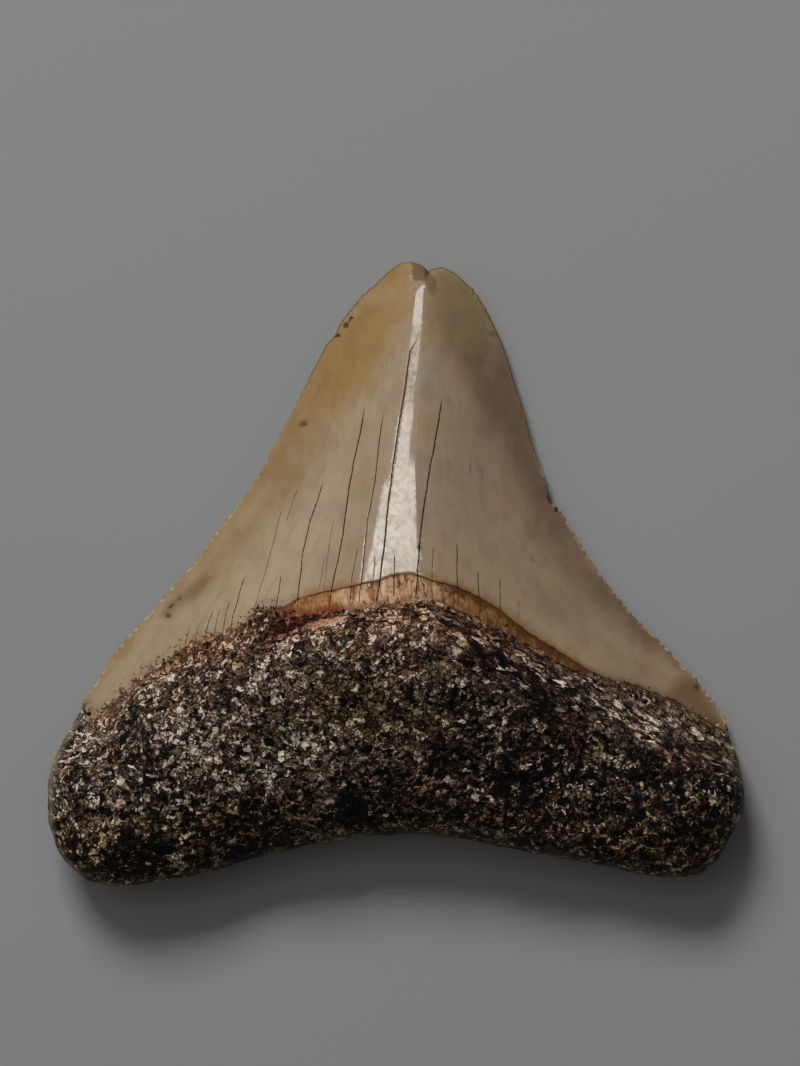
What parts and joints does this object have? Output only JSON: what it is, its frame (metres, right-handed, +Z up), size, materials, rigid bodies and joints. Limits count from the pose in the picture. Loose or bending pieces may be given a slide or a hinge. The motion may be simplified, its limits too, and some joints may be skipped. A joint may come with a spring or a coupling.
{
  "type": "megalodon tooth",
  "caption": "Fossil megalodon tooth lying on its flat outer face: a serrated triangular enamel crown with a split tip, a thin bourlette, and a thick, pitted, lobed root.",
  "frame": {"origin": "centre of the tooth's outline as seen from above, on the surface that it lies on", "axes": "+X across the root, +Y from the root towards the tip, +Z up out of the bulging inner face"},
  "size_m": [0.1, 0.0896, 0.0223],
  "materials": {
    "fossil": "glossy beige-grey enamel with dark hairline cracks on the crown, orange-tan bourlette, dull brown-black grainy root"
  },
  "bodies": {
    "root": {"tooth": "fossil"}
  },
  "joints": []
}
